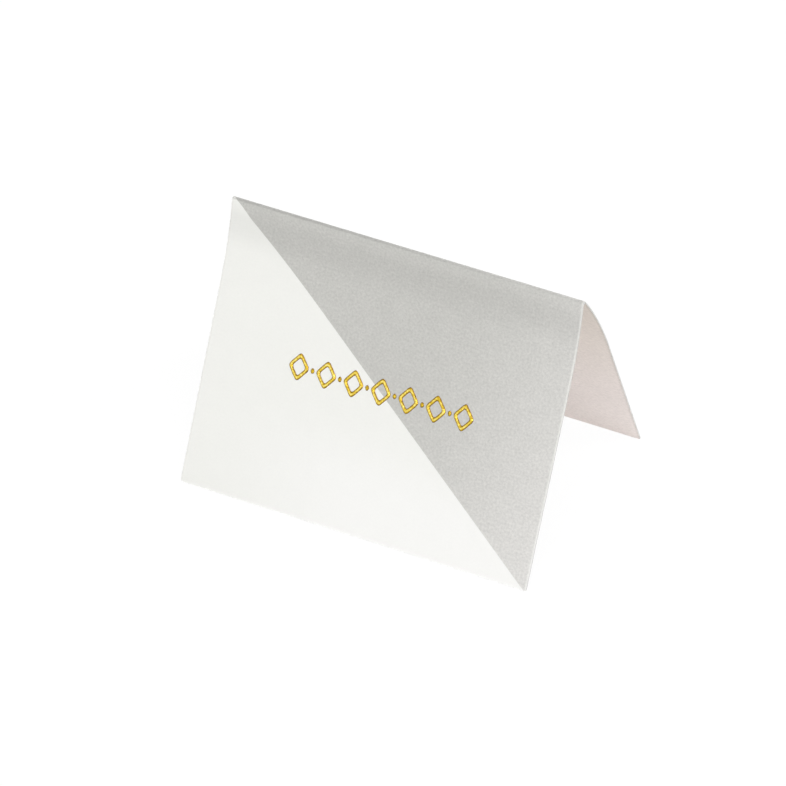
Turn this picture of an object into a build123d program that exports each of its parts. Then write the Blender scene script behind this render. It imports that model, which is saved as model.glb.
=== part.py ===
# Folded note card that stands as a tent on its two cut edges.
# X runs along the fold, the front panel faces -Y, and Z is up. The origin lies on the surface
# that the card stands on, under the middle of its footprint. All lengths are in millimetres.

import os
from math import atan2, degrees, radians

from build123d import *

# The sheet
card_width = 139.7  # along the fold
panel_height = 107.95  # each panel, along the sheet from the middle of the crease
sheet_thickness = 0.5
corner_radius = 0.5  # cut corners, a little dulled by handling
worn_corner_radius = 1.3  # the front panel's lower left corner

# The crease
crease_radius = 0.5  # inside the fold
score_bead_radius = 0.5  # ridge that the scoring rule pushes up inside the fold

# How far the sheet has sprung open, and how each panel bows next to the crease
opening_angle = 51.2  # between the flat runs of the two panels
front_bow_angle = 15.1
front_bow_length = 30.4
back_bow_angle = 13.1
back_bow_length = 39.4

# The raised gold row across the middle of the front panel: open lozenges, a small solid dot
# of the same shape between each two. Widths and heights are from point to point.
gold_height = 0.35  # above the paper
gold_round = 0.3  # on the upper edges of the lozenges
lozenge_count = 7
lozenge_pitch = 11.0
lozenge_width = 8.8
lozenge_height = 11.3
lozenge_corner_radius = 1.0  # takes the tips off the outer points
stroke_width = 1.4
dot_width = 1.5
dot_height = 2.1
dot_chamfer = 0.25

# Angles and lengths that follow from these
outer_crease_radius = crease_radius + sheet_thickness
crease_angle = 180 - opening_angle + front_bow_angle - back_bow_angle
half_crease_length = radians(crease_angle) / 2 * (crease_radius + sheet_thickness / 2)
front_flat_length = panel_height - half_crease_length - front_bow_length
back_flat_length = panel_height - half_crease_length - back_bow_length

# The sheet's outer line, from the front panel's cut edge up, over the crease and down the back.
# The front panel is hollow outside where it bows, the back panel is full.
with BuildLine() as outer_line:
    front_flat = Line((0, 0), (0, front_flat_length))
    front_bow = JernArc(
        start=front_flat @ 1,
        tangent=front_flat % 1,
        radius=front_bow_length / radians(front_bow_angle),
        arc_size=front_bow_angle,
    )
    crease = JernArc(
        start=front_bow @ 1,
        tangent=front_bow % 1,
        radius=outer_crease_radius,
        arc_size=-crease_angle,
    )
    back_bow = JernArc(
        start=crease @ 1,
        tangent=crease % 1,
        radius=back_bow_length / radians(back_bow_angle),
        arc_size=-back_bow_angle,
    )
    back_flat = Line(back_bow @ 1, back_bow @ 1 + (back_bow % 1) * back_flat_length)

# The card stands on the inner corner of each cut edge, so the line joining them lies level
inward = (front_flat % 0).rotate(Axis.Z, -90) * sheet_thickness
front_foot = front_flat @ 0 + inward
back_foot = back_flat @ 1 + (back_flat % 1).rotate(Axis.Z, -90) * sheet_thickness
feet = back_foot - front_foot
level = Plane.YZ.rotated((-degrees(atan2(feet.Y, feet.X)), 0, 0))
front_corner = level.from_local_coords(front_flat @ 0)
back_corner = level.from_local_coords(back_flat @ 1)
ground = level.from_local_coords(front_foot).Z
middle = (front_corner.Y + back_corner.Y) / 2
stance = Plane(origin=(0, -middle, -ground), x_dir=level.x_dir, z_dir=level.z_dir)

# The score bead's middle lies a little way from the crease's own, so that it bites into the sheet
crease_centre = crease.arc_center
bead_centre = crease_centre + (crease @ 0.5 - crease_centre).normalized() * score_bead_radius / 3

with BuildPart() as card:
    with BuildSketch(stance):
        with BuildLine():
            add(outer_line.line)
            offset(amount=sheet_thickness, side=Side.RIGHT)
        make_face()
        with Locations(bead_centre):
            Circle(score_bead_radius)
    extrude(amount=card_width / 2, both=True)

    # The short edges through the sheet at its four corners
    corners = card.edges().filter_by(lambda edge: abs(edge.length - sheet_thickness) < 1e-3)
    front_corners = corners.group_by(Axis.Y)[0].sort_by(Axis.X)
    back_corners = corners.group_by(Axis.Y)[-1]
    fillet(front_corners[0], radius=worn_corner_radius)
    fillet([front_corners[-1]] + list(back_corners), radius=corner_radius)

# The middle of the front panel's outer face, which is flat there: the row lies face to face on it
panel_middle = stance.from_local_coords((0, panel_height / 2))
front_face = Plane(origin=panel_middle, x_dir=(1, 0, 0), z_dir=-stance.x_dir)
outward = Axis(front_face.origin, front_face.z_dir)

with BuildPart() as gold_lozenges:
    with BuildSketch(front_face) as strokes:
        with GridLocations(lozenge_pitch, 0, lozenge_count, 1):
            Polygon(
                (lozenge_width / 2, 0),
                (0, lozenge_height / 2),
                (-lozenge_width / 2, 0),
                (0, -lozenge_height / 2),
            )
        fillet(strokes.vertices(), radius=lozenge_corner_radius)
        offset(strokes.faces(), amount=-stroke_width, mode=Mode.SUBTRACT)
    extrude(amount=gold_height)
    fillet(gold_lozenges.edges().group_by(outward)[-1], radius=gold_round)

with BuildPart() as gold_dots:
    with BuildSketch(front_face):
        with GridLocations(lozenge_pitch, 0, lozenge_count - 1, 1):
            Polygon(
                (dot_width / 2, 0),
                (0, dot_height / 2),
                (-dot_width / 2, 0),
                (0, -dot_height / 2),
            )
    extrude(amount=gold_height)
    chamfer(gold_dots.edges().group_by(outward)[-1], length=dot_chamfer)

card.part.label = "card"
gold_lozenges.part.label = "gold_lozenges"
gold_dots.part.label = "gold_dots"

os.makedirs("parts", exist_ok=True)
export_step(card.part, "parts/card.step")
export_step(gold_lozenges.part, "parts/gold_lozenges.step")
export_step(gold_dots.part, "parts/gold_dots.step")
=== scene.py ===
# Folded note card: one sheet of heavy card stock that stands as a tent on its two cut edges.
# Its front is printed in two fields that meet on the diagonal, white stock and pale grey, and
# carries a row of raised gold lozenges. X runs along the fold, the front faces -Y and Z is up.

from math import atan2, cos, pi, radians, sin

import bmesh
import bpy
from bpy.props import FloatProperty, FloatVectorProperty, IntProperty, PointerProperty
from mathutils import Matrix, Vector


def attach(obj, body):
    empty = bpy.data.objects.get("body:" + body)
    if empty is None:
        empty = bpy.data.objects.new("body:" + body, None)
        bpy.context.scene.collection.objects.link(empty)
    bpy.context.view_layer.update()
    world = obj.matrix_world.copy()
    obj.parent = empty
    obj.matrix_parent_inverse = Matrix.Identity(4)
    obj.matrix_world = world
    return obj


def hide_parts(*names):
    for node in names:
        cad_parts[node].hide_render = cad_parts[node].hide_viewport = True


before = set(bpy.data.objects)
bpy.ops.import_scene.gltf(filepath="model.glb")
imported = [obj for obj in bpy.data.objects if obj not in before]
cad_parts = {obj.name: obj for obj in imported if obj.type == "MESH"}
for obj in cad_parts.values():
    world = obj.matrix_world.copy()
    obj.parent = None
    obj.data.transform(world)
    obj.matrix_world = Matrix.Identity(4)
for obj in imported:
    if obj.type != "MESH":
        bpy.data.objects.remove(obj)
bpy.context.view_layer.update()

bl_info = {
    "name": "Folded Note Card",
    "version": (1, 0, 0),
    "blender": (4, 5, 0),
    "location": "View3D > Sidebar > Note Card",
    "description": "Makes a folded note card with a printed front and a row of raised gold lozenges",
    "category": "Add Mesh",
}

MM = 0.001
BODY = "root"
LAID_FLAT = "laid_flat"  # UV map: the sheet unfolded, u along the fold, v from front to back edge


# Settings that a user would change


class SheetSettings(bpy.types.PropertyGroup):
    """The folded sheet's sizes"""

    width: FloatProperty(
        name="Width", description="Length along the fold", default=139.7 * MM, unit="LENGTH"
    )
    panel_height: FloatProperty(
        name="Panel height",
        description="Each panel along the sheet, from the cut edge to the middle of the crease",
        default=107.95 * MM,
        unit="LENGTH",
    )
    thickness: FloatProperty(
        name="Thickness", description="Thickness of the stock", default=0.5 * MM, unit="LENGTH"
    )
    crease_radius: FloatProperty(
        name="Crease radius", description="Inside the fold", default=0.5 * MM, unit="LENGTH"
    )
    bead_drop: FloatProperty(
        name="Score bead drop",
        description="How far the score bead stands past the middle of the crease",
        default=0.33 * MM,
        unit="LENGTH",
    )
    opening: FloatProperty(
        name="Opening",
        description="Angle between the flat runs of the two panels",
        default=radians(51.2),
        subtype="ANGLE",
    )
    front_bow: FloatProperty(
        name="Front bow",
        description="How far the front panel turns below the crease",
        default=radians(15.1),
        subtype="ANGLE",
    )
    front_bow_length: FloatProperty(
        name="Front bow length",
        description="Length of the bowed run of the front panel",
        default=30.4 * MM,
        unit="LENGTH",
    )
    back_bow: FloatProperty(
        name="Back bow",
        description="How far the back panel turns below the crease",
        default=radians(13.1),
        subtype="ANGLE",
    )
    back_bow_length: FloatProperty(
        name="Back bow length",
        description="Length of the bowed run of the back panel",
        default=39.4 * MM,
        unit="LENGTH",
    )
    corner_radius: FloatProperty(
        name="Corner radius", description="Cut corners", default=0.5 * MM, unit="LENGTH"
    )
    worn_corner_radius: FloatProperty(
        name="Worn corner radius",
        description="The front panel's lower left corner",
        default=1.3 * MM,
        unit="LENGTH",
    )
    edge_round: FloatProperty(
        name="Edge round", description="Soft arris of the cut edges", default=0.05 * MM, unit="LENGTH"
    )


class PrintSettings(bpy.types.PropertyGroup):
    """Colours of the stock and the print, with the painted light and shade on them, and where the print
    ends
    """

    stock: FloatVectorProperty(
        name="Stock",
        description="Bare white stock",
        default=(0.877, 0.878, 0.842),
        subtype="COLOR",
        size=3,
    )
    # Painted light: white stock brighter towards the front's foot and to its right, where the light
    # falls brighter
    stock_foot_lit: FloatVectorProperty(
        name="Stock at the foot",
        description="White stock towards the front's cut edge, a little brighter",
        default=(0.922, 0.919, 0.897),
        subtype="COLOR",
        size=3,
    )
    grey: FloatVectorProperty(
        name="Grey",
        description="Printed grey where it is densest",
        default=(0.555, 0.551, 0.524),
        subtype="COLOR",
        size=3,
    )
    # Partly painted light: the grey turns paler towards the lower right, where the light falls brighter,
    # and partly thinner ink
    grey_pale: FloatVectorProperty(
        name="Pale grey",
        description="What the grey thins towards at the lower right",
        default=(0.814, 0.797, 0.778),
        subtype="COLOR",
        size=3,
    )
    # Partly painted light: paler than the outer stock, for the light that reaches in under the fold
    inside: FloatVectorProperty(
        name="Inside",
        description="Bare stock inside the fold, a little warmer",
        default=(0.932, 0.86, 0.827),
        subtype="COLOR",
        size=3,
    )
    # Painted shade: the inside darker and warmer close under the fold
    inside_shaded_top: FloatVectorProperty(
        name="Inside, at the fold",
        description="Bare stock close under the fold, duller and warmer still",
        default=(0.822, 0.757, 0.697),
        subtype="COLOR",
        size=3,
    )
    # Partly painted shade: the cut edge darker than the stock, partly for its open fibres and partly for
    # less light on it
    cut: FloatVectorProperty(
        name="Cut edge",
        description="Open fibres of a cut edge",
        default=(0.60, 0.605, 0.585),
        subtype="COLOR",
        size=3,
    )
    split_top: FloatVectorProperty(
        name="Split, upper end",
        description="Where the diagonal meets the fold: along the fold, and up the sheet",
        default=(-69.4 * MM, 108.0 * MM),
        unit="LENGTH",
        size=2,
    )
    split_foot: FloatVectorProperty(
        name="Split, lower end",
        description="Where the diagonal meets the front's cut edge",
        default=(68.8 * MM, 0.0),
        unit="LENGTH",
        size=2,
    )
    margin_top: FloatProperty(
        name="Margin at the fold",
        description="Thinly inked stock beside the grey at the right cut edge, at the fold",
        default=0.6 * MM,
        unit="LENGTH",
    )
    margin_foot: FloatProperty(
        name="Margin at the foot",
        description="Thinly inked stock beside the grey at the right cut edge, at the foot",
        default=0.65 * MM,
        unit="LENGTH",
    )
    past_fold: FloatProperty(
        name="Past the fold",
        description="How far the print runs over the middle of the crease",
        default=1.2 * MM,
        unit="LENGTH",
    )


class GoldSettings(bpy.types.PropertyGroup):
    """The raised gold row across the front panel"""

    count: IntProperty(name="Lozenges", description="Lozenges in the row", default=7, min=1)
    pitch: FloatProperty(
        name="Pitch", description="From lozenge to lozenge", default=11.0 * MM, unit="LENGTH"
    )
    lozenge_width: FloatProperty(
        name="Lozenge width", description="From point to point", default=8.8 * MM, unit="LENGTH"
    )
    lozenge_height: FloatProperty(
        name="Lozenge height", description="From point to point", default=11.3 * MM, unit="LENGTH"
    )
    stroke: FloatProperty(
        name="Stroke", description="Width of the gold line", default=1.4 * MM, unit="LENGTH"
    )
    height: FloatProperty(
        name="Height", description="Above the paper", default=0.35 * MM, unit="LENGTH"
    )
    dot_width: FloatProperty(
        name="Dot width", description="From point to point", default=1.5 * MM, unit="LENGTH"
    )
    dot_height: FloatProperty(
        name="Dot height", description="From point to point", default=2.1 * MM, unit="LENGTH"
    )
    crown: FloatVectorProperty(
        name="Gold",
        description="Foil on the crown of a stroke",
        default=(0.75, 0.52, 0.04),
        subtype="COLOR",
        size=3,
    )
    # Painted highlight: the bright streaks along the top of a stroke
    glint: FloatVectorProperty(
        name="Gold glint",
        description="Foil in the bright streaks along the top of a stroke",
        default=(0.97, 0.84, 0.28),
        subtype="COLOR",
        size=3,
    )
    # Painted shade: the dark reflection on a stroke's steep sides, where it meets the paper
    rim: FloatVectorProperty(
        name="Gold rim",
        description="Foil where a stroke meets the paper",
        default=(0.17, 0.085, 0.012),
        subtype="COLOR",
        size=3,
    )


class StageSettings(bpy.types.PropertyGroup):
    """Camera, lamps and floor"""

    azimuth: FloatProperty(
        name="Azimuth",
        description="Camera's turn to the right of the front",
        default=radians(28.231),
        subtype="ANGLE",
    )
    elevation: FloatProperty(
        name="Elevation", description="Camera above level", default=radians(39.191), subtype="ANGLE"
    )
    roll: FloatProperty(
        name="Roll",
        description="Camera's turn about its own axis",
        default=radians(-1.521),
        subtype="ANGLE",
    )
    distance: FloatProperty(
        name="Distance", description="Camera to its target", default=2.22394, unit="LENGTH"
    )
    target: FloatVectorProperty(
        name="Target",
        description="What the camera looks at",
        default=(-6.814 * MM, 0.0, 29.009 * MM),
        unit="LENGTH",
        size=3,
    )
    lens: FloatProperty(name="Lens", description="Focal length in millimetres", default=282.11)
    key_power: FloatProperty(
        name="Key power", description="Lamp high over the card", default=103.5, unit="POWER"
    )
    front_power: FloatProperty(
        name="Front power", description="Low lamp to the right of the front", default=154.0, unit="POWER"
    )
    end_power: FloatProperty(
        name="End power",
        description="Lamp that shines in under the fold from the right end",
        default=107.0,
        unit="POWER",
    )
    back_power: FloatProperty(
        name="Back power",
        description="Lamp behind the card, for its back panel",
        default=125.0,
        unit="POWER",
    )
    lamp_distance: FloatProperty(
        name="Lamp distance", description="Every lamp to the card", default=5.0, unit="LENGTH"
    )
    lamp_size: FloatProperty(
        name="Lamp size", description="Side of every lamp", default=2.1, unit="LENGTH"
    )
    fill: FloatProperty(name="Fill", description="Strength of the even light all round", default=0.04)


# The sheet's outer line, seen from its right end


class Run:
    """One run of the sheet's outer line: its length, how far it turns, and where it starts.
    A heading is measured from straight up, and grows as the sheet turns over the fold."""

    def __init__(self, length, turn, start, heading):
        self.length = length
        self.turn = turn
        self.start = start
        self.heading = heading

    @staticmethod
    def direction(heading):
        return Vector((0, sin(heading), cos(heading)))

    @staticmethod
    def inward(heading):
        return Vector((0, cos(heading), -sin(heading)))

    def centre(self):
        """The middle that a bowed run turns about."""
        return self.start + self.inward(self.heading) * (self.length / self.turn)

    def at(self, share):
        """The point that lies a share of the way along the run."""
        if not self.turn:
            return self.start + self.direction(self.heading) * (self.length * share)
        heading = self.heading + self.turn * share
        return self.centre() - self.inward(heading) * (self.length / self.turn)

    def share_at(self, point):
        """How much of the run lies before the place nearest a point."""
        if self.turn:
            spoke = (self.centre() - point) * (1 if self.turn > 0 else -1)
            turned = (atan2(-spoke.z, spoke.y) - self.heading + pi) % (2 * pi) - pi
            share = turned / self.turn
        else:
            share = (point - self.start).dot(self.direction(self.heading)) / self.length
        return min(max(share, 0.0), 1.0)


def walk(runs, start, heading):
    """The runs laid end to end from a start and a heading."""
    line = {}
    for name, (length, turn) in runs.items():
        line[name] = Run(length, turn, start, heading)
        start = line[name].at(1)
        heading += turn
    return line


def outer_line(sheet):
    """The outer line as it stands: both feet on the floor, and the cut edges evenly about Y."""
    crease_turn = pi - sheet.opening + sheet.front_bow - sheet.back_bow
    half_crease = crease_turn / 2 * (sheet.crease_radius + sheet.thickness / 2)
    runs = {
        "front_flat": (sheet.panel_height - half_crease - sheet.front_bow_length, 0.0),
        "front_bow": (sheet.front_bow_length, -sheet.front_bow),
        "crease": (crease_turn * (sheet.crease_radius + sheet.thickness), crease_turn),
        "back_bow": (sheet.back_bow_length, sheet.back_bow),
        "back_flat": (sheet.panel_height - half_crease - sheet.back_bow_length, 0.0),
    }
    origin = Vector((0, 0, 0))
    upright = walk(runs, origin, 0.0)
    last = upright["back_flat"]
    front_foot = Run.inward(0.0) * sheet.thickness
    back_foot = last.at(1) + Run.inward(last.heading) * sheet.thickness
    lean = atan2(back_foot.z - front_foot.z, back_foot.y - front_foot.y)
    leant = walk(runs, origin, lean)
    ground = (Run.inward(lean) * sheet.thickness).z
    middle = leant["back_flat"].at(1).y / 2
    return walk(runs, Vector((0, -middle, -ground)), lean)


def along_sheet(line, point):
    """How far along the sheet a point of its outer face lies, from the front's cut edge."""
    point = Vector((0, point.y, point.z))
    travelled = 0.0
    nearest = []
    for run in line.values():
        share = run.share_at(point)
        nearest.append(((run.at(share) - point).length, travelled + share * run.length))
        travelled += run.length
    return min(nearest)[1]


# Selecting and finishing meshes


def only(piece):
    """The piece alone is selected and active."""
    bpy.ops.object.select_all(action="DESELECT")
    piece.select_set(True)
    bpy.context.view_layer.objects.active = piece


def pick(piece, kind, test):
    """In edit mode, selects the vertices, edges or faces that pass the test, and nothing else."""
    bpy.ops.mesh.select_mode(type=kind)
    bpy.ops.mesh.select_all(action="DESELECT")
    mesh = bmesh.from_edit_mesh(piece.data)
    for element in {"VERT": mesh.verts, "EDGE": mesh.edges, "FACE": mesh.faces}[kind]:
        if test(element):
            element.select_set(True)
    bmesh.update_edit_mesh(piece.data)


def middle_of(edge):
    return (edge.verts[0].co + edge.verts[1].co) / 2


def apply_modifiers(piece):
    only(piece)
    for modifier in list(piece.modifiers):
        bpy.ops.object.modifier_apply(modifier=modifier.name)


# Materials

# Noises, in bumps to the millimetre
PAPER_GRAIN = 2.6
PAPER_FIBRE = 0.9
BARE_FIBRE = 1.7
MOTTLE = 1.1
BLOTCH = 0.16
INK_EDGE = 1.7
FOIL_UNEVEN = 1.5
FOIL_FLECK = 5.0
FOIL_RIPPLE = 2.2

# Scale of the fibres' pattern along the fold, where it is 1 up the sheet
PRINTED_DRAWN, INSIDE_DRAWN, CUT_DRAWN = 0.35, 0.5, 0.3

# How much each noise changes a tone
GREY_MOTTLE, GREY_BLOTCH = 0.56, 0.1
WHITE_MOTTLE, WHITE_BLOTCH = 0.06, 0.02
INSIDE_FIBRE, CUT_FIBRE, BARE_BLOTCH = 0.36, 0.06, 0.04

# Relief
PRINTED_RELIEF, BARE_RELIEF, FOIL_RELIEF = 0.012 * MM, 0.016 * MM, 0.09 * MM
FIBRE_RISE = 0.8  # how high fibres stand, where the grain stands 1 high
FLECK_RISE = 0.25  # how high flecks in the foil stand, where its ripple stands 1 high

# The print: lengths that aren't multiplied by MM are in millimetres
INK_SOFT = 0.07  # half the width of the ink's edge
INK_WANDER = 0.12  # how much the ink's edge strays
MARGIN_SOFT = 0.3
MARGIN_INK = 0.47  # share of the ink that reaches the margin
BEND_FROM, BEND_TO, BEND = 101.0, 107.0, 0.65  # the split draws aside next to the fold
GREY_PALER_FROM, GREY_PALER_TO = (-33.7 * MM, 0.0), (21.8 * MM, 108 * MM)  # the grey turns paler to the right of this line, partly as painted light
GREY_PALER_REACH = 150.0  # from that line to where the grey is palest
FOOT_UP, FOOT_ACROSS = (15.0, 46.0), (0.0, 74.0)  # where white stock changes to its painted light at the foot
STOCK_ROUGHNESS, INK_ROUGHNESS = 0.8, 0.62

# Where the stock is duller or paler, much of it as painted shade and light, by how much, and between
# which millimetres that changes
DULL_BOW, BOW_BEGINS, BOW_ENDS = 0.072, (88.0, 98.0), (101.0, 106.0)  # painted shade where the sheet bows in below the fold, up the sheet
DULL_CREASE, CREASE_CHANGES = (0.25, 0.11), (40.0, 110.0)  # darker along the crease, changing across the sheet
CREASE_BAND = 0.3, 1.1  # away from the middle of the crease
DULL_SIDE, SIDE_BAND = 0.04, (0.3, 0.9)  # a little darker in from the left cut edge
PALE_RIM, RIM_BAND = 0.065, (0.0, 0.95)  # painted light up from the front's cut edge
DULL_BORDER, BORDER_BAND = 0.11, (1.2, 0.3)  # painted shade inside the fold, in from both side edges
DULL_FLANK, FLANK_BAND = 0.033, (27.0, 0.0)  # painted shade likewise, but wide and faint
UNDER_FOLD = 20.0, 93.0  # heights between which the inside turns to its painted shade under the fold

# Foil: where it changes colour, from the rim's painted shade to the crown and on to the glint's painted
# highlight, in shares of a stroke's height, and how rough it is
RIM_TO_CROWN, CROWN_TO_GLINT = (0.5, 0.95), (0.84, 1.06)
FOIL_STRAY = 0.6  # how much those heights stray
FOIL_ROUGHNESS = 0.16, 0.34
FLECK_RANGE = 0.25  # how far from zero the flecks' noise still changes the roughness


class Nodes:
    """A node tree, with short calls to add and join its nodes."""

    def __init__(self, tree):
        self.tree = tree

    def add(self, kind, settings=None, **inputs):
        """Adds a node, with its settings and the values or links of its inputs."""
        node = self.tree.nodes.new("ShaderNode" + kind)
        for name, value in (settings or {}).items():
            setattr(node, name, value)
        for name, value in inputs.items():
            self.feed(node, int(name[1:]) if name[1:].isdigit() else name.replace("_", " "), value)
        return node

    def feed(self, node, name, value):
        socket = node.inputs[name]
        if isinstance(value, bpy.types.NodeSocket):
            self.tree.links.new(value, socket)
        elif socket.type == "RGBA" and len(value) == 3:
            socket.default_value = (*value, 1.0)
        else:
            socket.default_value = value

    def math(self, operation, *values):
        inputs = {f"_{i}": value for i, value in enumerate(values)}
        return self.add("Math", {"operation": operation}, **inputs).outputs[0]

    def times(self, first, second):
        return self.math("MULTIPLY", first, second)

    def ramp(self, value, low, high, to_low=0.0, to_high=1.0, smooth=True):
        """Carries a value from one range to another, and holds it at the ends."""
        settings = {"interpolation_type": "SMOOTHSTEP" if smooth else "LINEAR"}
        inputs = {"Value": value, "From_Min": low, "From_Max": high, "To_Min": to_low, "To_Max": to_high}
        return self.add("MapRange", settings, **inputs).outputs[0]

    def mix(self, share, first, second):
        """Mixes two colours. The node's colour sockets go by number, as several share a name."""
        return self.add("Mix", {"data_type": "RGBA"}, _0=share, _6=first, _7=second).outputs[2]

    def scaled(self, colour, factor):
        """A colour made lighter or darker by a factor that changes over the surface."""
        node = self.add("VectorMath", {"operation": "SCALE"}, _0=colour)
        self.feed(node, "Scale", factor)
        return node.outputs[0]

    def distance_from(self, place, origin, direction):
        """How far a place lies from an origin, in one direction."""
        away = self.add("VectorMath", {"operation": "SUBTRACT"}, _0=place, _1=origin).outputs[0]
        dot = self.add("VectorMath", {"operation": "DOT_PRODUCT"}, _0=away, _1=direction)
        return dot.outputs["Value"]

    def distance_past(self, place, start, end):
        """How far a place on the sheet lies to the right of a line, looking from start to end."""
        along = (Vector(end) - Vector(start)).normalized()
        return self.distance_from(place, (*start, 0), (along.y, -along.x, 0))

    def noise(self, place, scale, detail=2.0, roughness=0.5):
        """Noise about zero, from about -0.5 to 0.5."""
        inputs = {"Vector": place, "Scale": scale, "Detail": detail, "Roughness": roughness}
        node = self.add("TexNoise", {"noise_dimensions": "3D"}, **inputs)
        return self.math("SUBTRACT", node.outputs[0], 0.5)

    def varied(self, *parts):
        """One, plus each noise or ramp times its share."""
        total = 1.0
        for part, share in parts:
            total = self.math("MULTIPLY_ADD", part, share, total)
        return total

    def drawn_out(self, place, scale_along):
        """Places for a pattern that is drawn out along the fold."""
        return self.add("Mapping", Vector=place, Scale=(scale_along, 1.0, 1.0)).outputs[0]

    def place_in_mm(self):
        position = self.add("TexCoord").outputs["Object"]
        return self.add("Mapping", Vector=position, Scale=(1 / MM,) * 3).outputs[0]


class Finish(Nodes):
    """A new material of one shader."""

    def __init__(self, name):
        self.material = bpy.data.materials.new(name)
        self.material.use_nodes = True
        super().__init__(self.material.node_tree)
        self.shader = self.tree.nodes["Principled BSDF"]

    def bump(self, height, depth):
        """Bumps of a height about zero, as deep as given."""
        self.feed(self.shader, "Normal", self.add("Bump", Height=height, Distance=depth).outputs[0])

    def paper_relief(self, fibre, place, depth):
        """The stock's own surface: close grain over its fibres."""
        grain = self.noise(place, PAPER_GRAIN, detail=3.0, roughness=0.6)
        self.bump(self.math("MULTIPLY_ADD", fibre, FIBRE_RISE, grain), depth)


class OuterFinish(Finish):
    """The finish of the sheet's outer face. A place on it is given in millimetres across the
    unfolded sheet from its left edge, and up it from the front's cut edge."""

    def __init__(self, name, sheet, line):
        super().__init__(name)
        self.width = sheet.width
        self.fold = line["front_flat"].length + line["front_bow"].length + line["crease"].length / 2
        length = sum(run.length for run in line.values())
        uv = self.add("UVMap", {"uv_map": LAID_FLAT}).outputs[0]
        self.place = self.add("Mapping", Vector=uv, Scale=(self.width / MM, length / MM, 1.0)).outputs[0]
        self.across, self.up_sheet = self.add("SeparateXYZ", Vector=self.place).outputs[:2]

    def on_sheet(self, x, up):
        """A place, from metres to the right of the sheet's middle and up from the cut edge."""
        return ((x + self.width / 2) / MM, up / MM)

    def grey_field(self, card_print):
        """Where the grey lies: right of the diagonal, thin in the margin, not far past the fold."""
        wander = self.times(self.noise(self.place, INK_EDGE), INK_WANDER)
        foot, top = self.on_sheet(*card_print.split_foot), self.on_sheet(*card_print.split_top)
        drawn_aside = self.ramp(self.up_sheet, BEND_FROM, BEND_TO, 0.0, BEND)
        past_split = self.math("ADD", self.distance_past(self.place, foot, top), wander)
        past_split = self.math("SUBTRACT", past_split, drawn_aside)
        inked = self.ramp(past_split, -INK_SOFT, INK_SOFT)
        margin_foot = self.on_sheet(self.width / 2 - card_print.margin_foot, 0)
        margin_top = self.on_sheet(self.width / 2 - card_print.margin_top, self.fold)
        past_margin = self.math("ADD", self.distance_past(self.place, margin_foot, margin_top), wander)
        kept = self.ramp(past_margin, -MARGIN_SOFT, MARGIN_SOFT, 1.0, MARGIN_INK)
        last_ink = (self.fold + card_print.past_fold) / MM
        front = self.ramp(self.up_sheet, last_ink - INK_SOFT, last_ink + INK_SOFT, 1.0, 0.0)
        return self.times(self.times(inked, kept), front)

    def grey(self, card_print):
        """The grey turns paler towards the lower right corner: partly painted light, where the light
        falls brighter, and partly thinner ink.
        """
        past = self.distance_past(self.place, self.on_sheet(*GREY_PALER_FROM), self.on_sheet(*GREY_PALER_TO))
        return self.mix(self.ramp(past, 0.0, GREY_PALER_REACH), card_print.grey, card_print.grey_pale)

    def white(self, card_print):
        """Painted light: the stock is a little brighter towards the front's foot, and to its right."""
        low = self.ramp(self.up_sheet, *FOOT_UP, 1.0, 0.0)
        at_foot = self.times(low, self.ramp(self.across, *FOOT_ACROSS))
        return self.mix(at_foot, card_print.stock, card_print.stock_foot_lit)

    def tone_and_painted_light(self):
        """One, less where the sheet bows in below the fold, as painted shade, along its crease and
        beside its left edge, and more along the front's foot, as painted light."""
        bowed = self.ramp(self.up_sheet, *BOW_BEGINS)
        bowed = self.times(bowed, self.ramp(self.up_sheet, *BOW_ENDS, 1.0, 0.0))
        from_crease = self.math("ABSOLUTE", self.math("SUBTRACT", self.up_sheet, self.fold / MM))
        darker_crease = self.ramp(from_crease, *CREASE_BAND, 1.0, 0.0)
        darker_crease = self.times(darker_crease, self.ramp(self.across, *CREASE_CHANGES, *DULL_CREASE))
        side = self.ramp(self.across, *SIDE_BAND, 1.0, 0.0)
        rim = self.ramp(self.up_sheet, *RIM_BAND, 1.0, 0.0)
        return self.varied((bowed, -DULL_BOW), (darker_crease, -1.0), (side, -DULL_SIDE), (rim, PALE_RIM))


def printed_stock(card_print, sheet, line):
    """The outer face: white stock, with the grey field on the front beyond the diagonal."""
    finish = OuterFinish("printed_stock", sheet, line)
    place = finish.place
    mottle = finish.noise(place, MOTTLE, detail=3.0, roughness=0.65)
    blotch = finish.noise(place, BLOTCH)
    field = finish.grey_field(card_print)
    on_grey = finish.varied((mottle, GREY_MOTTLE), (blotch, GREY_BLOTCH))
    on_white = finish.varied((mottle, WHITE_MOTTLE), (blotch, WHITE_BLOTCH))
    grey = finish.scaled(finish.grey(card_print), on_grey)
    white = finish.scaled(finish.white(card_print), on_white)
    # painted light and shade scale the print's colour
    colour = finish.scaled(finish.mix(field, white, grey), finish.tone_and_painted_light())
    finish.feed(finish.shader, "Base Color", colour)
    roughness = finish.ramp(field, 0.0, 1.0, STOCK_ROUGHNESS, INK_ROUGHNESS, smooth=False)
    finish.feed(finish.shader, "Roughness", roughness)
    finish.shader.inputs["Specular IOR Level"].default_value = 0.3
    fibre = finish.noise(finish.drawn_out(place, PRINTED_DRAWN), PAPER_FIBRE)
    finish.paper_relief(fibre, place, PRINTED_RELIEF)
    return finish.material


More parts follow.
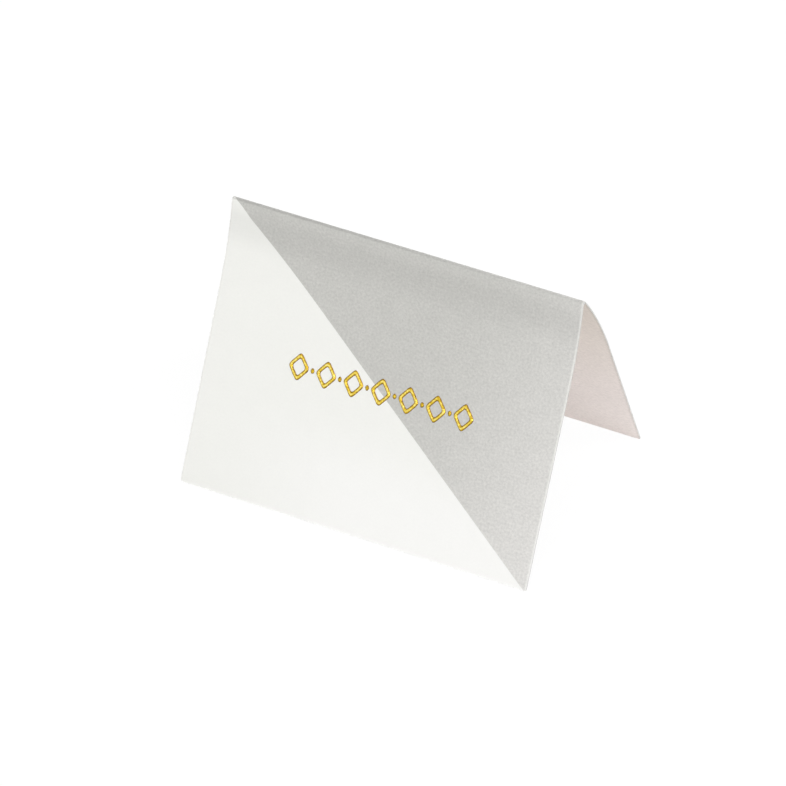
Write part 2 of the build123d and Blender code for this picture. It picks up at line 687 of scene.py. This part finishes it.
def bare_stock(finish, place, colour, scale_along, fibre_share, *worn_or_shaded):
    """Unprinted stock, its fibres drawn out along the fold. Where it is darker, as painted shade,
    comes as ramps with their shares, as varied takes them."""
    drawn = finish.drawn_out(place, scale_along)
    fibre = finish.noise(drawn, BARE_FIBRE, detail=3.0, roughness=0.6)
    blotch = finish.noise(place, BLOTCH)
    tone = finish.varied((fibre, fibre_share), (blotch, BARE_BLOTCH), *worn_or_shaded)
    finish.feed(finish.shader, "Base Color", finish.scaled(colour, tone))
    finish.shader.inputs["Roughness"].default_value = 0.85
    finish.shader.inputs["Specular IOR Level"].default_value = 0.25
    finish.paper_relief(fibre, drawn, BARE_RELIEF)
    return finish.material


def inside_stock(card_print, sheet):
    """The inner face, with painted shade: darker and warmer close under the fold, and duller towards its
    sides.
    """
    finish = Finish("inside_stock")
    place = finish.place_in_mm()
    across, _, height = finish.add("SeparateXYZ", Vector=place).outputs
    # painted shade under the fold
    colour = finish.mix(finish.ramp(height, *UNDER_FOLD), card_print.inside, card_print.inside_shaded_top)
    side = sheet.width / 2 / MM
    from_middle = finish.math("ABSOLUTE", across)
    border = finish.ramp(from_middle, *(side - inwards for inwards in BORDER_BAND))
    flank = finish.ramp(from_middle, *(side - inwards for inwards in FLANK_BAND), smooth=False)
    # painted shade, darker towards the side edges
    worn_or_shaded = ((border, -DULL_BORDER), (flank, -DULL_FLANK))
    return bare_stock(finish, place, colour, INSIDE_DRAWN, INSIDE_FIBRE, *worn_or_shaded)


def cut_edge_stock(card_print):
    """The open fibres of a cut edge, darker than the stock: partly the fibres, partly painted shade."""
    finish = Finish("cut_edge_stock")
    return bare_stock(finish, finish.place_in_mm(), card_print.cut, CUT_DRAWN, CUT_FIBRE)


def raised_gold(gold, face):
    """Bright foil over soft raised strokes: brown where it meets the paper, as painted shade, and uneven
    on the crown, with painted highlights.
    """
    finish = Finish("raised_gold")
    place = finish.place_in_mm()
    height = finish.distance_from(place, face.translation / MM, face.col[2].to_3d())
    share = finish.math("DIVIDE", height, gold.height / MM)
    share = finish.math("MULTIPLY_ADD", finish.noise(place, FOIL_UNEVEN), FOIL_STRAY, share)
    # painted shade at the rim, then the crown, then the painted highlight of the glint
    foil = finish.mix(finish.ramp(share, *RIM_TO_CROWN), gold.rim, gold.crown)
    foil = finish.mix(finish.ramp(share, *CROWN_TO_GLINT), foil, gold.glint)
    finish.feed(finish.shader, "Base Color", foil)
    finish.shader.inputs["Metallic"].default_value = 1.0
    fleck = finish.noise(place, FOIL_FLECK, detail=3.0, roughness=0.6)
    roughness = finish.ramp(fleck, -FLECK_RANGE, FLECK_RANGE, *FOIL_ROUGHNESS, smooth=False)
    finish.feed(finish.shader, "Roughness", roughness)
    ripple = finish.noise(place, FOIL_RIPPLE)
    finish.bump(finish.math("MULTIPLY_ADD", fleck, FLECK_RISE, ripple), FOIL_RELIEF)
    return finish.material


# The folded sheet

BOW_STEPS = 24
CREASE_STEPS = 12
CORNER_STEPS = 6
COLUMNS = 24  # across the sheet
INSIDE, CUT_EDGE = 1, 2  # material slots, after slot 0 for the printed face
ARRIS_STEPS = 2
BEAD_REACH = 1.1  # edge rounds past the hollow of the crease, where the arris moves with the bead
BEAD_POWER = 1.5  # of the cosine that shapes the bead: the higher, the narrower its ridge
TOUCH = 1e-6  # metres: places closer than this are one
SMOOTH_ANGLE = radians(35)


def raise_front_flat(sheet, run):
    """A plane as wide as the sheet and as long as the front's flat run, leant as it stands."""
    bpy.ops.object.select_all(action="DESELECT")
    bpy.ops.mesh.primitive_plane_add(size=1)
    piece = bpy.context.object
    piece.name = piece.data.name = "folded_sheet"
    piece.scale = (sheet.width, run.length, 1)
    piece.rotation_euler.x = pi / 2 - run.heading
    piece.location = run.at(0.5)
    bpy.ops.object.transform_apply(location=True, rotation=True, scale=True)
    return piece


def bow_over(piece, run, steps):
    """Spins the sheet's free edge round a bowed run."""
    pick(piece, "EDGE", lambda edge: (middle_of(edge) - run.start).length < TOUCH)
    bpy.ops.mesh.spin(steps=steps, angle=run.turn, center=run.centre(), axis=(1, 0, 0))


def fold_sheet(sheet, line):
    """The sheet's outer face, folded over the crease, all in one strip."""
    piece = raise_front_flat(sheet, line["front_flat"])
    bpy.ops.object.mode_set(mode="EDIT")
    bow_over(piece, line["front_bow"], BOW_STEPS)
    bow_over(piece, line["crease"], CREASE_STEPS)
    bow_over(piece, line["back_bow"], BOW_STEPS)
    last = line["back_flat"]
    pick(piece, "EDGE", lambda edge: (middle_of(edge) - last.start).length < TOUCH)
    bpy.ops.mesh.extrude_region_move(TRANSFORM_OT_translate={"value": last.at(1) - last.start})
    bpy.ops.mesh.select_all(action="SELECT")
    bpy.ops.mesh.remove_doubles(threshold=TOUCH)
    bpy.ops.mesh.normals_make_consistent(inside=False)
    for column in range(1, COLUMNS):
        bpy.ops.mesh.select_all(action="SELECT")
        across = (column / COLUMNS - 0.5) * sheet.width
        bpy.ops.mesh.bisect(plane_co=(across, 0, 0), plane_no=(1, 0, 0))
    return piece


def round_corners(piece, sheet):
    """Takes off the four cut corners, the worn one at the front's lower left most."""
    half = sheet.width / 2
    at_corner = [v.co.copy() for v in bmesh.from_edit_mesh(piece.data).verts if len(v.link_edges) == 2]
    for corner in at_corner:
        worn_or_shaded = corner.x < -half + TOUCH and corner.y < 0
        radius = sheet.worn_corner_radius if worn_or_shaded else sheet.corner_radius
        pick(piece, "VERT", lambda v: (v.co - corner).length < TOUCH)
        bpy.ops.mesh.bevel(offset=radius, offset_type="OFFSET", segments=CORNER_STEPS, affect="VERTICES")


def lay_flat(piece, sheet, line):
    """Writes the UV map: every point at its place on the unfolded sheet."""
    length = sum(run.length for run in line.values())
    flat = {v.index: along_sheet(line, v.co) / length for v in piece.data.vertices}
    layer = piece.data.uv_layers.new(name=LAID_FLAT)
    for loop in piece.data.loops:
        x = piece.data.vertices[loop.vertex_index].co.x
        layer.data[loop.index].uv = (x / sheet.width + 0.5, flat[loop.vertex_index])


def thicken(piece, sheet):
    """Gives the sheet its thickness inwards, with the inner face and the cut edge marked."""
    wall = piece.modifiers.new("thickness", "SOLIDIFY")
    wall.thickness = sheet.thickness
    wall.offset = -1.0
    wall.use_even_offset = True
    wall.use_quality_normals = True
    wall.material_offset = INSIDE
    wall.material_offset_rim = CUT_EDGE
    apply_modifiers(piece)


def press_score_bead(piece, sheet, crease):
    """Pushes the hollow of the crease in to the rounded ridge that the scoring rule leaves."""
    outward = -Run.inward(crease.heading + crease.turn / 2)
    centre = crease.centre()
    reach = sheet.crease_radius + sheet.edge_round * BEAD_REACH
    height = sheet.crease_radius + sheet.bead_drop
    mesh = bmesh.from_edit_mesh(piece.data)
    for vertex in mesh.verts:
        spoke = vertex.co - centre
        spoke.x = 0
        share = spoke.angle(outward, pi) / (crease.turn / 2)
        if spoke.length < reach and share < 1:
            vertex.co -= outward * (height * cos(share * pi / 2) ** BEAD_POWER)
    bmesh.update_edit_mesh(piece.data)


def soften_cut_edges(piece, sheet):
    """Rounds the two long arrises of the cut edge all the way round."""

    def arris(edge):
        sides = {face.material_index == CUT_EDGE for face in edge.link_faces}
        return len(sides) == 2

    pick(piece, "EDGE", arris)
    bpy.ops.mesh.bevel(
        offset=sheet.edge_round, segments=ARRIS_STEPS, affect="EDGES", clamp_overlap=False
    )


def shade(piece):
    """Smooth shading in which the flat faces stay flat up to their rounded edges."""
    only(piece)
    bpy.ops.object.shade_smooth_by_angle(angle=SMOOTH_ANGLE)
    flat = piece.modifiers.new("flat_faces", "WEIGHTED_NORMAL")
    flat.keep_sharp = True
    apply_modifiers(piece)


class CARD_OT_folded_sheet(bpy.types.Operator):
    """Folds the sheet over its crease, gives it its thickness and prints it"""

    bl_idname = "note_card.folded_sheet"
    bl_label = "Folded Sheet"
    bl_options = {"REGISTER", "UNDO"}

    def execute(self, context):
        sheet = context.scene.note_card_sheet
        card_print = context.scene.note_card_print
        line = outer_line(sheet)
        piece = fold_sheet(sheet, line)
        round_corners(piece, sheet)
        bpy.ops.object.mode_set(mode="OBJECT")
        lay_flat(piece, sheet, line)
        piece.data.materials.append(printed_stock(card_print, sheet, line))
        piece.data.materials.append(inside_stock(card_print, sheet))
        piece.data.materials.append(cut_edge_stock(card_print))
        thicken(piece, sheet)
        bpy.ops.object.mode_set(mode="EDIT")
        soften_cut_edges(piece, sheet)
        press_score_bead(piece, sheet, line["crease"])
        bpy.ops.object.mode_set(mode="OBJECT")
        shade(piece)
        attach(piece, BODY)
        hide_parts("card")
        return {"FINISHED"}


# The raised gold row

ROUND_STEPS = 6  # over the top of a stroke, before it is subdivided
DOT_STEPS = 2  # of those for a dot, whose top stays one face
LONG_EDGE = 0.25  # share of a lozenge's width: longer edges run along its sides
SIDE_CUTS = 2  # along each side of a lozenge: the closer they lie, the sharper its tips
DOT_SWELL = 1.5  # a four-sided cage closes in by this much when it is subdivided
GOLD_LEVELS = 2
LUMP_SIZE = 1.3 * MM
LUMP_HEIGHT = 0.05 * MM
GOLD_SINK = 0.015 * MM  # into the paper, so that no line of light shows under a stroke


def front_face(sheet, line):
    """Carries a piece from the floor to the middle of the front panel's outer face."""
    run = line["front_flat"]
    up = run.direction(run.heading)
    out = -run.inward(run.heading)
    middle = run.at(sheet.panel_height / 2 / run.length) - out * GOLD_SINK
    turn = Matrix((Vector((1, 0, 0)), up, out)).transposed().to_4x4()
    return Matrix.Translation(middle) @ turn


def flat_lozenge(name, width, height):
    """A four-sided face from point to point, facing up, in edit mode."""
    bpy.ops.object.select_all(action="DESELECT")
    bpy.ops.mesh.primitive_circle_add(vertices=4, radius=0.5, fill_type="NGON")
    piece = bpy.context.object
    piece.name = piece.data.name = name
    piece.scale = (width, height, 1)
    bpy.ops.object.transform_apply(location=False, rotation=False, scale=True)
    bpy.ops.object.mode_set(mode="EDIT")
    pick(piece, "FACE", lambda face: True)
    return piece


def raise_rows(half_width, height, steps):
    """Insets the selected face row by row, up a rounded section and as far over as asked."""
    for step in range(steps):
        before, after = (pi * row / ROUND_STEPS for row in (step, step + 1))
        inset = half_width * (cos(before) - cos(after))
        bpy.ops.mesh.inset(thickness=inset, depth=0.0, use_even_offset=True)
        rise = height * (sin(after) - sin(before))
        bpy.ops.transform.translate(value=(0, 0, rise))


def on_paper(element):
    return all(abs(vertex.co.z) < TOUCH for vertex in element.verts)


def at_foot(edge):
    """Whether a stroke's side meets its underside here."""
    return [on_paper(face) for face in edge.link_faces].count(True) == 1


def close_and_round(piece):
    """Holds the foot of the stroke on the paper, and subdivides the rest to a soft round."""
    pick(piece, "EDGE", at_foot)
    bpy.ops.transform.edge_crease(value=1.0)
    bpy.ops.mesh.select_all(action="SELECT")
    bpy.ops.mesh.normals_make_consistent(inside=False)
    bpy.ops.object.mode_set(mode="OBJECT")
    soft = piece.modifiers.new("soft", "SUBSURF")
    soft.levels = soft.render_levels = GOLD_LEVELS
    apply_modifiers(piece)


def model_lozenge(gold):
    """One open lozenge: a face inset over a rounded stroke and down to the paper again, with
    the hole left in its middle taken out and its underside closed."""
    piece = flat_lozenge("gold_lozenge", gold.lozenge_width, gold.lozenge_height)
    raise_rows(gold.stroke / 2, gold.height, ROUND_STEPS)
    bpy.ops.mesh.delete(type="FACE")
    pick(piece, "EDGE", on_paper)
    bpy.ops.mesh.bridge_edge_loops()
    shortest = gold.lozenge_width * LONG_EDGE
    pick(piece, "EDGE", lambda edge: edge.calc_length() > shortest)
    bpy.ops.mesh.subdivide(number_cuts=SIDE_CUTS)
    close_and_round(piece)
    return piece


def model_dot(gold):
    """One small solid lozenge, domed."""
    piece = flat_lozenge("gold_dot", gold.dot_width * DOT_SWELL, gold.dot_height * DOT_SWELL)
    raise_rows(gold.dot_width / 2, gold.height, DOT_STEPS)
    pick(piece, "EDGE", on_paper)
    bpy.ops.mesh.edge_face_add()
    close_and_round(piece)
    return piece


def lumps():
    """The texture that makes the gold pieces uneven, made once for all of them."""
    texture = bpy.data.textures.get("gold_lumps") or bpy.data.textures.new("gold_lumps", "CLOUDS")
    texture.noise_scale = LUMP_SIZE
    texture.noise_depth = 1
    return texture


def set_out(pattern, places, face, finish, node):
    """Copies a piece along the row, each with its own mesh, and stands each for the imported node."""
    for number, place in enumerate(places, 1):
        only(pattern)
        bpy.ops.object.duplicate(linked=False)
        piece = bpy.context.object
        piece.name = piece.data.name = f"{pattern.name}_{number}"
        piece.matrix_world = face @ Matrix.Translation((place, 0, 0))
        bpy.ops.object.transform_apply(location=True, rotation=True, scale=True)
        uneven = piece.modifiers.new("uneven", "DISPLACE")
        uneven.texture = lumps()
        uneven.strength = LUMP_HEIGHT
        apply_modifiers(piece)
        bpy.ops.object.shade_smooth()
        piece.data.materials.append(finish)
        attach(piece, BODY)
        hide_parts(node)
    bpy.data.objects.remove(pattern)


def row_places(count, pitch):
    return [(number - (count - 1) / 2) * pitch for number in range(count)]


class CARD_OT_gold_lozenges(bpy.types.Operator):
    """Models one open lozenge and sets it out along the row"""

    bl_idname = "note_card.gold_lozenges"
    bl_label = "Gold Lozenges"
    bl_options = {"REGISTER", "UNDO"}

    def execute(self, context):
        gold = context.scene.note_card_gold
        sheet = context.scene.note_card_sheet
        face = front_face(sheet, outer_line(sheet))
        finish = raised_gold(gold, face)
        set_out(model_lozenge(gold), row_places(gold.count, gold.pitch), face, finish, "gold_lozenges")
        return {"FINISHED"}


class CARD_OT_gold_dots(bpy.types.Operator):
    """Models one gold dot and sets it out between the lozenges"""

    bl_idname = "note_card.gold_dots"
    bl_label = "Gold Dots"
    bl_options = {"REGISTER", "UNDO"}

    def execute(self, context):
        gold = context.scene.note_card_gold
        sheet = context.scene.note_card_sheet
        face = front_face(sheet, outer_line(sheet))
        finish = bpy.data.materials.get("raised_gold") or raised_gold(gold, face)
        set_out(model_dot(gold), row_places(gold.count - 1, gold.pitch), face, finish, "gold_dots")
        return {"FINISHED"}


# The stage

# Each lamp's degrees to the right of the front, and above level
LAMPS = (("key", 10, 75), ("front", 35, 20), ("end", 110, 35), ("back", 190, 25))
FLOOR_SIZE = 60.0
FLOOR_GREY = 0.7
FLOOR_GLOW = 0.9  # share of what the camera sees of the floor that is its own light
FLOOR_LEVEL = 1.05  # strength of that light: with the share that is lit, this is white


def studio_floor():
    """Pale floor that shows white to the camera and in gloss, and still takes the shadow."""
    finish = Finish("studio_floor")
    finish.feed(finish.shader, "Base Color", (FLOOR_GREY,) * 3)
    finish.shader.inputs["Roughness"].default_value = 0.9
    finish.shader.inputs["Specular IOR Level"].default_value = 0.0
    glow = finish.add("Emission", Strength=FLOOR_LEVEL)
    share = finish.times(seen_ray(finish), FLOOR_GLOW)
    mixed = finish.add("MixShader", _0=share, _1=finish.shader.outputs[0], _2=glow.outputs[0])
    finish.feed(finish.tree.nodes["Material Output"], "Surface", mixed.outputs[0])
    return finish.material


def seen_ray(nodes):
    """One for what the camera sees, straight or in a gloss or glass, else zero."""
    path = nodes.add("LightPath")
    seen = nodes.math("MAXIMUM", path.outputs["Is Camera Ray"], path.outputs["Is Glossy Ray"])
    return nodes.math("MAXIMUM", seen, path.outputs["Is Transmission Ray"])


def light_world(fill):
    world = bpy.data.worlds.new("studio")
    world.use_nodes = True
    bpy.context.scene.world = world
    nodes = Nodes(world.node_tree)
    background = nodes.tree.nodes["Background"]
    nodes.feed(background, "Color", (1.0, 1.0, 1.0))
    nodes.feed(background, "Strength", nodes.math("MULTIPLY_ADD", seen_ray(nodes), 1.0 - fill, fill))


def sight_axes(azimuth, elevation):
    """Back towards the viewer, to the viewer's right, and up, for a look at the card."""
    back = Vector((sin(azimuth) * cos(elevation), -cos(azimuth) * cos(elevation), sin(elevation)))
    right = Vector((cos(azimuth), sin(azimuth), 0))
    return back, right, back.cross(right)


def turn_to(back, right, up, roll):
    rolled_right = right * cos(roll) + up * sin(roll)
    rolled_up = up * cos(roll) - right * sin(roll)
    return Matrix((rolled_right, rolled_up, back)).transposed().to_euler()


def lamp(name, azimuth, elevation, power, stage):
    """A square lamp that faces the card."""
    back, right, up = sight_axes(azimuth, elevation)
    rotation = turn_to(back, right, up, 0.0)
    bpy.ops.object.light_add(type="AREA", location=back * stage.lamp_distance, rotation=rotation)
    new = bpy.context.object
    new.name = name + "_lamp"
    new.data.energy = power
    new.data.size = stage.lamp_size


class CARD_OT_stage(bpy.types.Operator):
    """Sets up the floor, the lamps and the camera"""

    bl_idname = "note_card.stage"
    bl_label = "Stage"
    bl_options = {"REGISTER", "UNDO"}

    def execute(self, context):
        stage = context.scene.note_card_stage
        bpy.ops.object.select_all(action="DESELECT")
        bpy.ops.mesh.primitive_plane_add(size=FLOOR_SIZE)
        floor = context.object
        floor.name = "studio_floor"
        floor.data.materials.append(studio_floor())
        light_world(stage.fill)

        for name, azimuth, elevation in LAMPS:
            lamp(name, radians(azimuth), radians(elevation), getattr(stage, name + "_power"), stage)

        back, right, up = sight_axes(stage.azimuth, stage.elevation)
        place = Vector(stage.target) + back * stage.distance
        bpy.ops.object.camera_add(location=place, rotation=turn_to(back, right, up, stage.roll))
        camera = context.object
        camera.data.lens = stage.lens
        context.scene.camera = camera
        context.scene.view_settings.view_transform = "Standard"
        return {"FINISHED"}


# Add-on


class CARD_PT_note_card(bpy.types.Panel):
    """Makes the card piece by piece, or its stage"""

    bl_label = "Note Card"
    bl_idname = "CARD_PT_note_card"
    bl_space_type = "VIEW_3D"
    bl_region_type = "UI"
    bl_category = "Note Card"

    def draw(self, context):
        for operator, settings in STEPS:
            box = self.layout.box()
            box.operator(operator.bl_idname)
            for name in settings:
                group = getattr(context.scene, name)
                for prop in group.bl_rna.properties:
                    if prop.identifier not in {"rna_type", "name"}:
                        box.prop(group, prop.identifier)


# Each operator, in the order that they run, with the settings it shows in the panel
STEPS = (
    (CARD_OT_folded_sheet, ("note_card_sheet", "note_card_print")),
    (CARD_OT_gold_lozenges, ("note_card_gold",)),
    (CARD_OT_gold_dots, ()),
    (CARD_OT_stage, ("note_card_stage",)),
)
SETTINGS = {
    "note_card_sheet": SheetSettings,
    "note_card_print": PrintSettings,
    "note_card_gold": GoldSettings,
    "note_card_stage": StageSettings,
}
CLASSES = (*SETTINGS.values(), *(operator for operator, _ in STEPS), CARD_PT_note_card)


def register():
    for cls in CLASSES:
        bpy.utils.register_class(cls)
    for name, group in SETTINGS.items():
        setattr(bpy.types.Scene, name, PointerProperty(type=group))


def unregister():
    for name in SETTINGS:
        delattr(bpy.types.Scene, name)
    for cls in reversed(CLASSES):
        bpy.utils.unregister_class(cls)


def main():
    register()
    bpy.ops.note_card.folded_sheet()
    bpy.ops.note_card.gold_lozenges()
    bpy.ops.note_card.gold_dots()
    bpy.ops.note_card.stage()


if __name__ == "__main__":
    main()
